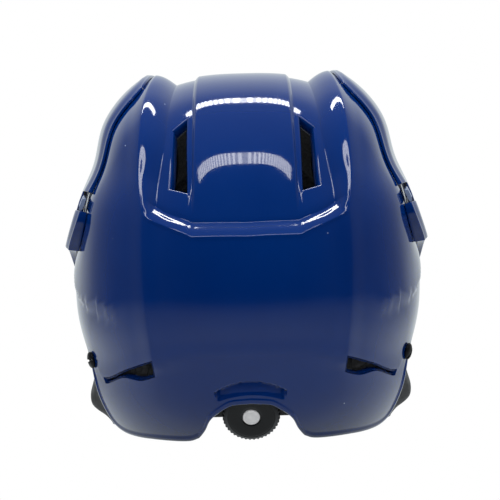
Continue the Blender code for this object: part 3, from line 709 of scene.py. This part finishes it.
def rear_shell():
    rows = cells((0.03, 1, 2, 3, 4, 5, 6, 7, 8, 9), (36, 14, 40, 14, 12, 30, 30, 14, 8))
    columns = mirrored(cells((0, 1, 1.5, 2, 3, 4, 5, 6, 7), (40, 6, 4, 10, 6, 12, 28, 36)))
    grid, normals = lay_out(REAR_NET, rows, columns)
    p, q = np.meshgrid(rows, columns, indexing="ij")
    spine = step((p - 4.3) / 1.5)
    rise = 0.71 * ramp(p - 3, 0.1) + 0.29 * step((p - 4.1) / 1.9)
    relief = recess_across(q, spine) * rise + tongue_drop(normals)
    details = rear_details(rows, columns, p, q, grid)
    outer = grid + normals * (relief + details)[..., None]
    inner = grid + normals * (np.minimum(relief, relief + details) - SHELL)[..., None]
    holes = open_areas(rows, columns, (TALL_VENT, WEDGE_VENT))

    def vent(depth, i, j):
        if rows[i] < 3:
            return wedge_rim(1.05, 4.6)
        return vent_rim(depth, 1.7, 6.5)

    vertices, faces = skin(outer, inner, holes, lambda d: round_rim(d, 0.9, 1.3), vent)
    vertices[:, 2] = np.maximum(vertices[:, 2], GROUND)
    piece("shell_rear", mesh_of("shell_rear", vertices, faces), LOOKS["shell"], "rear", "shell",
          "rear_shell")


def front_shell():
    rows = cells((0, 0.78, 1, 2, 3, 4, 5), (16, 6, 22, 30, 18, 18))
    columns = mirrored(cells((0, 1, 1.5, 2, 3, 4, 5, 5.5, 6, 6.5, 7, 7.06, 7.35, 7.5, 8),
                             (16, 5, 3, 8, 5, 10, 10, 12, 12, 14, 12, 2, 8, 5, 12)))
    grid, normals = lay_out(FRONT_NET, rows, columns)
    p, q = np.meshgrid(rows, columns, indexing="ij")
    relief = front_relief(p, q)
    ridge = crease_gap(grid, 0, nearest(columns, 5), 1)
    crease = fold(ridge, *RIDGE_FOLD) * (1 - step((p - 3) / 1.5))
    edge = np.linalg.norm(grid - grid[-1:], axis=-1)
    details = crease + 0.6 * (1 - step((edge - 1.8) / 1.2))
    # the rear edge is rolled down until it nearly touches the rear shell
    seam = np.linalg.norm(grid - grid[:1], axis=-1)
    roll = (1 - step(seam / SEAM_REACH))**1.4
    height = relief + front_standoff(p, q)
    outer = grid + normals * (height + details - SEAM_ROLL * roll)[..., None]
    # the inside follows the ridge, and is rolled less over the crown, to clear the rear shell
    hug = 0.4 + 0.6 * step((np.abs(q) - 4.8) / 0.4)
    under = relief + SHELL_CLEARANCE + crease - hug * roll
    inner = grid + normals * under[..., None]
    holes = open_areas(rows, columns, (BROW_VENT, SIDE_VENT, LEVER_NOTCH))
    vertices, faces = skin(outer, inner, holes, lambda d: round_rim(d, 0.3, 0.8),
                           lambda d, i, j: round_rim(d, 0.5, 0.8))
    piece("shell_front", mesh_of("shell_front", vertices, faces), LOOKS["shell"], "front",
          "shell", "front_shell")


# ---- liners and pads ----
def block_lines(rows, columns, sign, parts, count):
    """Rows and columns of a block, on one side or, for sign 0, across the middle."""
    p_lines = cells(np.linspace(rows[0], rows[1], parts + 1), (count[0],) * parts)
    half = cells(np.linspace(columns[0], columns[1], parts + 1), (count[1],) * parts)
    return p_lines, mirrored(half) if sign == 0 else np.sort(sign * half)


def no_openings(p_lines, q_lines):
    return np.zeros((len(p_lines) - 1, len(q_lines) - 1), bool)


def foam_block(name, net, rows, columns, sign, face, body, groove=0.0):
    """Moulded foam block under a shell: rounded arrises, shallow mould grooves inside."""
    p_lines, q_lines = block_lines(rows, columns, sign, 4, (9, 8))
    grid, normals = lay_out(net, p_lines, q_lines)
    p, q = np.meshgrid(p_lines, q_lines, indexing="ij")
    outer = grid + normals * face(p, q, normals)[..., None]
    across = (np.abs(q) - columns[0]) / (columns[1] - columns[0])
    run = (p - rows[0]) / (rows[1] - rows[0])
    dent = groove * (np.exp(-((run - 0.5) / 0.03)**2) + np.exp(-((across - 0.5) / 0.04)**2))
    inner = grid - normals * (LINER_DEPTH - dent)[..., None]
    closed = no_openings(p_lines, q_lines)
    vertices, faces = skin(outer, inner, closed, lambda d: round_rim(d, 0.0, 2.2))
    pulled = piece(name + "_foam", mesh_of(name, vertices, faces), LOOKS["foam"], body, "foam",
                   name)


def liners():
    def rear_face(p, q, n):
        return rear_relief(p, q) + tongue_drop(n) - SHELL - LINER_GAP

    def front_face(p, q, n):
        return front_relief(p, q) - LINER_GAP

    foam_block("rear_liner", REAR_NET, (0.8, 3.5), (0, 5), 0, rear_face, "rear", 1.6)
    foam_block("crown_liner", REAR_NET, (4.15, 8.5), (0, 1.8), 0, rear_face, "rear", 1.6)
    foam_block("front_liner", FRONT_NET, (1.3, 4.8), (0, 5), 0, front_face, "front", 1.6)
    for tag, sign in SIDES:
        foam_block("crown_liner_" + tag, REAR_NET, (4.15, 8.5), (3.2, 4.5), sign, rear_face,
                   "rear")
        foam_block("side_liner_" + tag, REAR_NET, (0.5, 8.5), (5.25, 6), sign, rear_face, "rear",
                   1.6)
        foam_block("front_side_liner_" + tag, FRONT_NET, (2.5, 4.5), (5.5, 7), sign, front_face,
                   "front", 1.6)


def comfort_pad(name, net, rows, columns, sign, body, depth, thick, channels):
    """Heat-sealed comfort pad: flat on its liner, crowned towards the head, welded channels."""
    p_lines, q_lines = block_lines(rows, columns, sign, 3, (12, 12))
    run = (p_lines - rows[0]) / (rows[1] - rows[0]) * 2 - 1
    across = np.linspace(-1, 1, len(q_lines))
    u, v = np.meshgrid(run, across, indexing="ij")
    # the corners are drawn in, so the pad's outline is rounded
    middle = (rows[0] + rows[1]) / 2
    span = (rows[1] - rows[0]) / 2
    p = middle + span * u * (1 - 0.16 * np.abs(v)**6)
    centre = (q_lines[-1] + q_lines[0]) / 2
    q = centre + (q_lines[None, :] - centre) * (1 - 0.12 * np.abs(u)**6)
    grid, normals = lay_out_scattered(net, p, q)
    edge = (1 - np.abs(u)**8) * (1 - np.abs(v)**8)
    crown = np.clip(edge, 0, 1)**0.45 * (0.86 + 0.14 * (1 - u**2) * (1 - v**2))
    for kind, place in channels:
        t = u if kind == "p" else v
        crown = crown * (1 - 0.62 * np.exp(-((t - place) / 0.035)**2))
    swell = 0.9 + (thick + 0.6) * crown
    outer = grid - normals * depth
    inner = grid - normals * (depth + swell)[..., None]
    closed = no_openings(p_lines, q_lines)
    vertices, faces = skin(outer, inner, closed, lambda d: round_rim(d, 0.3, 0.5))
    obj = piece(name + "_cover", mesh_of(name, vertices, faces, 70), LOOKS["pad"], body, "pad",
                name)


def lay_out_scattered(net, p, q):
    """Points and normals of the form at freely placed (p, q)."""
    count = len(net)
    lines = net_lines(net, q)
    low = np.clip(np.floor(p).astype(int), 0, count - 2)
    t = (p - low)[..., None]
    i, j = np.indices(p.shape)

    def row_at(k):
        return lines[np.clip(k, 0, count - 1), i, j]

    before, start, end, after = row_at(low - 1), row_at(low), row_at(low + 1), row_at(low + 2)

    chord = end - start
    first = np.where((low == 0)[..., None], chord, shared_slope(start - before, chord))
    last = np.where((low == count - 2)[..., None], chord, shared_slope(chord, after - end))
    points = hermite(t, start, end, first, last)
    points[..., 0] *= np.where(q < 0, -1, 1)
    points = onto_form(points)
    return points, form_normal(points)


def pads():
    depth = LINER_DEPTH + PAD_GAP
    comfort_pad("rear_pad", REAR_NET, (2.35, 3.8), (0, 4), 0, "rear", depth, PAD,
                (("q", -0.45), ("q", 0.45), ("p", 0.0)))
    comfort_pad("crown_pad", REAR_NET, (5.33, 7.5), (0, 1.6), 0, "rear", depth, PAD,
                (("p", -0.35), ("p", 0.35)))
    comfort_pad("forehead_pad", FRONT_NET, (3.6, 4.75), (0, 5), 0, "front", depth, PAD,
                (("q", -0.5), ("q", 0.0), ("q", 0.5)))
    comfort_pad("cradle_pad", REAR_NET, (1.36, 2.05), (0, 3.8), 0, "cradle", LINER_DEPTH + 7.8,
                4.2, (("q", -0.4), ("q", 0.4)))
    for tag, sign in SIDES:
        comfort_pad("side_pad_" + tag, REAR_NET, (2.65, 5.33), (5.5, 6), sign, "rear", depth,
                    PAD, (("p", 0.0),))
        comfort_pad("temple_pad_" + tag, FRONT_NET, (3, 4.5), (6, 7), sign, "front", depth, PAD,
                    (("q", 0.0),))


# ---- ear guards, screws, dial and levers ----
def ear_guards():
    rows = cells((0, 1, 1.5, 2, 2.4, 2.8, 3.2, 4), (14, 7, 6, 5, 5, 5, 12))
    columns = cells((0, 0.6, 1.2, 1.6, 2.0, 2.4, 2.8, 3.2, 3.6, 4), (10, 8, 7, 7, 7, 7, 7, 7, 8))
    grid, normals = lay_out(GUARD_NET, rows, columns)
    p, q = np.meshgrid(rows, columns, indexing="ij")
    tuck = np.maximum(ramp((p - 1) / 1.6), 1 - ramp(q / 0.9))
    bulge = 4.4 * np.exp(-((p - 0.8) / 0.4)**2) * step(p / 0.5) * step((q - 0.5) / 0.6)
    outer = grid + normals * (-1.0 - 7.0 * tuck + bulge)[..., None]
    inner = outer - normals * GUARD
    outer[0, :, 2] = inner[0, :, 2] = 0
    slots = [(p0, p1, q0, q0 + 0.4)
             for p0, p1 in ((1.5, 2), (2.4, 2.8)) for q0 in (1.2, 2.0, 2.8)]
    holes = open_areas(rows, columns, slots)
    vertices, faces = skin(outer, inner, holes, lambda d: round_rim(d, 0.5, 1.0),
                           lambda d, i, j: round_rim(d, 0.8, 1.0))
    vertices[:, 2] = np.maximum(vertices[:, 2], 0)
    for tag, sign in SIDES:
        flipped = vertices * np.array((sign, 1, 1))
        piece("guard_" + tag, mesh_of("guard_" + tag, flipped, faces), LOOKS["black"], "rear",
              "black_plastic", "ear_guard_" + tag)


def lathe(profile, sides, wave=None):
    """Vertices and faces of a closed turned solid around Z, from (radius, height) pairs."""
    angles = 2 * np.pi * np.arange(sides) / sides
    vertices = [(0, 0, profile[0][1])]
    for radius, height in profile[1:-1]:
        r = radius + (wave(radius, height, angles) if wave else 0 * angles)
        vertices += list(zip(r * np.cos(angles), r * np.sin(angles), [height] * sides))
    vertices.append((0, 0, profile[-1][1]))
    last = len(vertices) - 1
    rings = len(profile) - 2
    faces = []
    for k in range(sides):
        n = (k + 1) % sides
        faces.append((0, 1 + n, 1 + k))
        for ring in range(rings - 1):
            low = 1 + ring * sides
            faces.append((low + k, low + n, low + sides + n, low + sides + k))
        top = 1 + (rings - 1) * sides
        faces.append((last, top + k, top + n))
    return np.array(vertices), faces


def placed(vertices, centre, axis, spin=0.0):
    """Moves local vertices so that Z lies along axis and the origin at centre."""
    turn = Vector((0, 0, 1)).rotation_difference(Vector(axis)).to_matrix()
    turn = np.array(turn @ Matrix.Rotation(spin, 3, "Z"))
    return vertices @ turn.T + np.array(centre)


def surface_frame(point, sign):
    point = np.array(point)
    normal = form_normal(point)
    flip = np.array((sign, 1, 1))
    return point * flip, normal * flip


SCREW_HEAD = 5.0
SCREW_SHANK = 2.0
TOUCH = 0.3                      # the head's seat over the surface
SLOT_WIDTH = 1.5
SLOT_TURN = 0.5                  # radians
GUARD_SHANK = 8.0 + 1.0 + GUARD + 2.8    # length under the head


def screw(name, place, axis, lift, shank, body):
    """Slotted dome-head screw with a rounded rim."""
    seat = lift + TOUCH
    dome = [(SCREW_HEAD * math.cos(a), seat + 0.9 + 2.0 * math.sin(a))
            for a in np.radians((8, 20, 34, 48, 62, 76))]
    tip = seat - shank
    profile = [(0, tip), (SCREW_SHANK - 0.4, tip), (SCREW_SHANK, tip + 0.5),
               (SCREW_SHANK, seat), (SCREW_HEAD - 0.3, seat), (SCREW_HEAD, seat + 0.3),
               (SCREW_HEAD, seat + 0.9)] + dome + [(0, seat + 2.9)]
    vertices, faces = lathe(profile, 48)
    wide = np.abs(vertices[:, 0]) < SLOT_WIDTH / 2
    high = vertices[:, 2] > seat + 1.0
    vertices[wide & high, 2] = seat + 1.1
    mesh = mesh_of(name, placed(vertices, place, axis, SLOT_TURN), faces, 35)
    piece(name + "_fine", mesh, LOOKS["metal"], body, "hardware", name)


def screws():
    for tag, sign in SIDES:
        place, axis = surface_frame(side(-61, 45), sign)
        screw("guard_screw_" + tag, place, axis, 0, GUARD_SHANK, "rear")
        place, axis = surface_frame(arc(163, 66), sign)
        lift = SHELL + SHELL_CLEARANCE
        screw("visor_screw_" + tag, place, axis, lift, lift + 2.0, "front")


DIAL_CENTRE = (0.0, -105.5, 15.7)
DIAL_TILT = 22.0
DIAL_RADIUS = 16.8
DIAL_DEPTH = 9.0
TEETH = 42


def dial():
    tilt = math.radians(DIAL_TILT)
    axis = (0, -math.cos(tilt), -math.sin(tilt))
    r = DIAL_RADIUS

    def knurl(radius, height, angles):
        if radius < r - 0.75 or height > -1.4:
            return 0 * angles
        wave = np.cos(TEETH * angles)
        return 0.42 * np.sign(wave) * np.abs(wave)**0.5

    profile = [(0, -DIAL_DEPTH), (r - 1.2, -DIAL_DEPTH), (r - 0.5, -DIAL_DEPTH + 0.4),
               (r - 0.4, -DIAL_DEPTH + 1.0), (r - 0.4, -4.4), (r - 0.4, -2.6), (r - 0.6, -1.9),
               (r - 1.1, -1.35), (r - 1.7, -0.95), (r - 2.4, -0.5), (r - 2.8, -0.22),
               (r - 3.05, -0.12), (r - 3.2, -0.3), (r - 3.4, -0.3), (r - 3.7, -0.12),
               (r - 4.4, -0.02), (r - 7.0, 0.12), (r - 9.0, 0.1), (6.0, 0.05), (5.75, -0.1),
               (5.6, -1.1), (0, -1.1)]
    vertices, faces = lathe(profile, TEETH * 8, knurl)
    mesh = mesh_of("dial_wheel", placed(vertices, DIAL_CENTRE, axis), faces, 32)
    wheel = piece("dial_wheel", mesh, LOOKS["dial"], "dial", "dial_plastic", "dial_knob")
    # the face inside the bevel is polished darker than the rim
    wheel.data.materials.append(LOOKS["face"])
    centre = (Vector(DIAL_CENTRE) - Vector(MIDDLE)) * MM
    for polygon in wheel.data.polygons:
        away = polygon.center - centre
        along = away.dot(Vector(axis))
        if along > -0.6 * MM and (away - Vector(axis) * along).length < (r - 3.1) * MM:
            polygon.material_index = 1
    cap = [(0, -1.0), (4.9, -1.0), (4.95, -0.1), (4.75, 0.12), (4.3, 0.22), (3.55, 0.28),
           (3.45, 0.16), (3.15, 0.16), (3.05, 0.28), (1.5, 0.34), (0, 0.35)]
    vertices, faces = lathe(cap, 96)
    piece("dial_badge", mesh_of("dial_badge", placed(vertices, DIAL_CENTRE, axis), faces, 32),
          LOOKS["cap"], "dial", "cap", "dial_cap")


LEVER_PIN = (-38.0, 137.6)       # where the levers hinge, in the side view
LEVER_PIN_PLACE = ((7.05, 6.0), (7.36, -6.0))    # where the pin sits in the wall: column, height
LEVER_PIN_ROW = 0.62
LEVER_TAIL = (-62.0, 137.6)      # rear end of the levers
LEVER_TAIL_LIFT = 3.3
LEVER_THICKNESS = 2.0
ARM_WIDTH = 7.4                  # wider arms cut into the walls of the notch


def lever_frame(sign):
    """Pin point of a lever, its length, and its axes: forwards, along the pin, and outwards."""
    ends = []
    for column, height in LEVER_PIN_PLACE:
        point, normal = surface_frame(side(LEVER_PIN[0], LEVER_PIN[1] + height), sign)
        wall = front_standoff(LEVER_PIN_ROW, column) - SHELL / 2
        ends.append(Vector(point + normal * wall))
    pin = (ends[0] + ends[1]) / 2
    up = (ends[0] - ends[1]).normalized() * sign
    tail, normal = surface_frame(side(*LEVER_TAIL), sign)
    along = pin - Vector(tail + normal * LEVER_TAIL_LIFT)
    along = (along - up * along.dot(up))
    length = along.length
    along.normalize()
    return pin, length, Matrix((along, up, along.cross(up))).transposed()


def levers():
    """Lever arms that thin towards the pin, with grip ridges and a turned-out finger lip at the
    tail.
    """
    for tag, sign in SIDES:
        pin, length, turn = lever_frame(sign)
        out = (turn @ Vector((0, 0, 1))).x * sign
        turned_out = 1 if out > 0 else -1
        half = LEVER_THICKNESS / 2
        outline = []
        for t in np.linspace(0, 1, 15):
            x = 1.0 - 1.8 * (1 - t) - (length + 0.4) * t
            lip = 0.8 * step((t - 0.86) / 0.14)
            pad = 0.25 * math.cos(12 * math.pi * t) * (0.45 < t < 0.8)
            high = half * (1 - 0.35 * step((0.12 - t) / 0.12)) + pad + lip
            outline.append((x, high, -half + 0.7 * lip))
        widths = np.linspace(-1, 1, 13)
        vertices, faces = [], []
        for x, high, low in outline:
            for side_of, level in ((1, high), (-1, low)):
                for w in widths[::side_of]:
                    rounding = 1 - 0.55 * abs(w)**10
                    middle = (high + low) / 2
                    vertices.append((x, w * ARM_WIDTH / 2,
                                     turned_out * (middle + (level - middle) * rounding)))
        ring = 2 * len(widths)
        for r in range(len(outline) - 1):
            for k in range(ring):
                n = (k + 1) % ring
                faces.append((r * ring + k, r * ring + n, (r + 1) * ring + n, (r + 1) * ring + k))
        faces.append(tuple(range(ring)))
        faces.append(tuple(range((len(outline) - 1) * ring, len(outline) * ring)))
        vertices = np.array(vertices) @ np.array(turn).T + np.array(pin)
        piece("lever_arm_" + tag, mesh_of("lever_arm_" + tag, vertices, faces, 40),
              LOOKS["lever"], "lever_" + tag, "lever", "lever_" + tag)


# ---- frame nodes that stay as they are ----
KEPT = {"dial_housing": "black", "occipital_cradle": "black",
        "lever_pin_left": "black", "lever_pin_right": "black",
        "guard_nut_left": "metal", "guard_nut_right": "metal",
        "visor_nut_left": "metal", "visor_nut_right": "metal"}


def dress_kept_nodes():
    for name, look in KEPT.items():
        node = frame["nodes"][name]
        for slot in node.material_slots:
            slot.material = LOOKS[look]


# ---- room, lights and camera ----
def aimed(centre, look_at, axis):
    """Placement at centre, with the named local axis towards look_at."""
    aim = Vector(look_at) - Vector(centre)
    return Matrix.Translation(centre) @ aim.to_track_quat(axis, "Y").to_matrix().to_4x4()


def lamp_strip(name, size, centre, look_at, strength, lamps, bend):
    """A bowed row of lamps that only shows in reflections."""
    mesh = bpy.data.meshes.new(name)
    steps = np.linspace(-1, 1, 33)
    w, h = size[0] / 2, size[1] / 2
    points = [(w * s, side_of * h + bend * s * s, 0) for s in steps for side_of in (-1, 1)]
    mesh.from_pydata(points, [], [(2 * i, 2 * i + 2, 2 * i + 3, 2 * i + 1) for i in range(32)])
    obj = linked(name, mesh)
    obj.matrix_world = aimed(centre, look_at, "Z")
    material = bpy.data.materials.new(name)
    material.use_nodes = True
    tree = material.node_tree
    tree.nodes.clear()
    link = tree.links.new
    out = tree.nodes.new("ShaderNodeOutputMaterial")
    glow = tree.nodes.new("ShaderNodeEmission")
    link(glow.outputs[0], out.inputs[0])
    place = tree.nodes.new("ShaderNodeTexCoord")
    wave = tree.nodes.new("ShaderNodeTexWave")
    wave.inputs["Scale"].default_value = lamps
    link(place.outputs["Object"], wave.inputs["Vector"])
    power = map_range(tree, wave.outputs["Fac"], 0.35, 0.7, 0.25 * strength, strength)
    link(power, glow.inputs["Strength"])
    mesh.materials.append(material)
    obj.visible_camera = False
    obj.visible_diffuse = False
    obj.visible_shadow = False


def area_light(name, size, centre, look_at, power, colour=(1, 1, 1), glossy=True):
    data = bpy.data.lights.new(name, "AREA")
    data.shape = "RECTANGLE"
    data.size, data.size_y = size
    data.energy = power
    data.color = colour
    obj = linked(name, data)
    obj.matrix_world = aimed(centre, look_at, "-Z")
    obj.visible_glossy = glossy
    obj.visible_camera = False


def world():
    """White studio. Reflections see a white table, a pale backdrop and a dark camera side."""
    made = bpy.data.worlds.new("studio")
    bpy.context.scene.world = made
    made.use_nodes = True
    tree = made.node_tree
    tree.nodes.clear()
    link = tree.links.new
    out = tree.nodes.new("ShaderNodeOutputWorld")
    place = tree.nodes.new("ShaderNodeTexCoord")
    split = tree.nodes.new("ShaderNodeSeparateXYZ")
    link(place.outputs["Generated"], split.inputs[0])

    def curve(source, points):
        node = tree.nodes.new("ShaderNodeFloatCurve")
        line = node.mapping.curves[0]
        while len(line.points) < len(points):
            line.points.new(0.5, 0.5)
        for point, (x, y) in zip(line.points, points):
            point.location = (x, y)
        node.mapping.update()
        link(map_range(tree, source, -1, 1), node.inputs["Value"])
        return node.outputs[0]

    def maths(operation, first, second):
        node = tree.nodes.new("ShaderNodeMath")
        node.operation = operation
        link(first, node.inputs[0])
        link(second, node.inputs[1])
        return node.outputs[0]

    # y = -1 is the camera's side, z = -1 straight down
    depth = curve(split.outputs["Y"], WALLS)
    above = curve(split.outputs["Z"], ABOVE)
    table = curve(split.outputs["Z"], TABLE)
    near = curve(split.outputs["Y"], TABLE_DEPTH)
    seen = maths("MAXIMUM", maths("MULTIPLY", depth, above), maths("MULTIPLY", table, near))
    mirror = tree.nodes.new("ShaderNodeBackground")
    mirror.inputs["Color"].default_value = (0.93, 1.0, 1.03, 1)
    link(seen, mirror.inputs["Strength"])
    plain = tree.nodes.new("ShaderNodeBackground")
    plain.inputs["Color"].default_value = (1, 1, 1, 1)
    plain.inputs["Strength"].default_value = 1.0
    path = tree.nodes.new("ShaderNodeLightPath")
    mix = tree.nodes.new("ShaderNodeMixShader")
    link(path.outputs["Is Glossy Ray"], mix.inputs[0])
    link(plain.outputs[0], mix.inputs[1])
    link(mirror.outputs[0], mix.inputs[2])
    link(mix.outputs[0], out.inputs[0])


# how bright reflections are: along y, along z above the horizon, and for the table below it
WALLS = ((0, 0.0), (0.1, 0.02), (0.25, 0.06), (0.5, 0.15), (0.72, 0.24), (0.86, 0.5), (1, 0.8))
ABOVE = ((0, 0.9), (0.5, 0.9), (0.62, 0.9), (0.75, 1.0), (0.9, 1.0), (1, 1.0))
TABLE = ((0, 1.0), (0.25, 0.95), (0.36, 0.7), (0.43, 0.25), (0.465, 0.03), (0.5, 0.0), (1, 0.0))
TABLE_DEPTH = ((0, 0.43), (0.1, 0.41), (0.2, 0.38), (0.35, 0.47), (0.5, 0.65), (1, 0.85))


def floor():
    mesh = bpy.data.meshes.new("floor")
    mesh.from_pydata([(-6, -6, 0), (6, -6, 0), (6, 6, 0), (-6, 6, 0)], [], [(0, 1, 2, 3)])
    obj = linked("floor", mesh)
    look = Look("pale_floor")
    look.colour(look.mixed(look.noise(3, 2), (0.5, 0.5, 0.5), (0.53, 0.53, 0.53)))
    mesh.materials.append(look.set(Roughness=0.9, Specular_IOR_Level=0.0))
    obj.visible_glossy = False
    obj.visible_camera = False


CAMERA_PITCH = 6                 # degrees down
CAMERA_ROLL = -1.6               # degrees
CAMERA_DISTANCE = 1.25           # metres
CAMERA_AIM = (0.0019, -0.0037, 0.1018)


def camera():
    data = bpy.data.cameras.new("camera")
    data.sensor_width = 36
    data.lens = 144
    obj = linked("camera", data)
    pitch = math.radians(CAMERA_PITCH)
    forward = Vector((0, math.cos(pitch), -math.sin(pitch)))
    turn = forward.to_track_quat("-Z", "Y").to_matrix().to_4x4()
    eye = Vector(CAMERA_AIM) - forward * CAMERA_DISTANCE
    obj.matrix_world = (Matrix.Translation(eye) @ turn
                        @ Matrix.Rotation(math.radians(CAMERA_ROLL), 4, "Z"))
    bpy.context.scene.camera = obj


bpy.context.scene.view_settings.view_transform = "Standard"
rear_shell()
front_shell()
liners()
pads()
ear_guards()
screws()
dial()
levers()
dress_kept_nodes()
world()
floor()
area_light("overhead", (1.2, 1.2), (0, 0.0, 1.6), (0, 0, 0.1), 42, glossy=False)
lamp_strip("strip_far", (0.66, 0.11), (0.0, 0.5, 1.17), (0, -0.08, 0.2), 20.0, 12, 0.14)
lamp_strip("strip_near", (0.74, 0.17), (0.0, -0.47, 1.25), (0, -0.08, 0.2), 9.0, 14, -0.2)
camera()
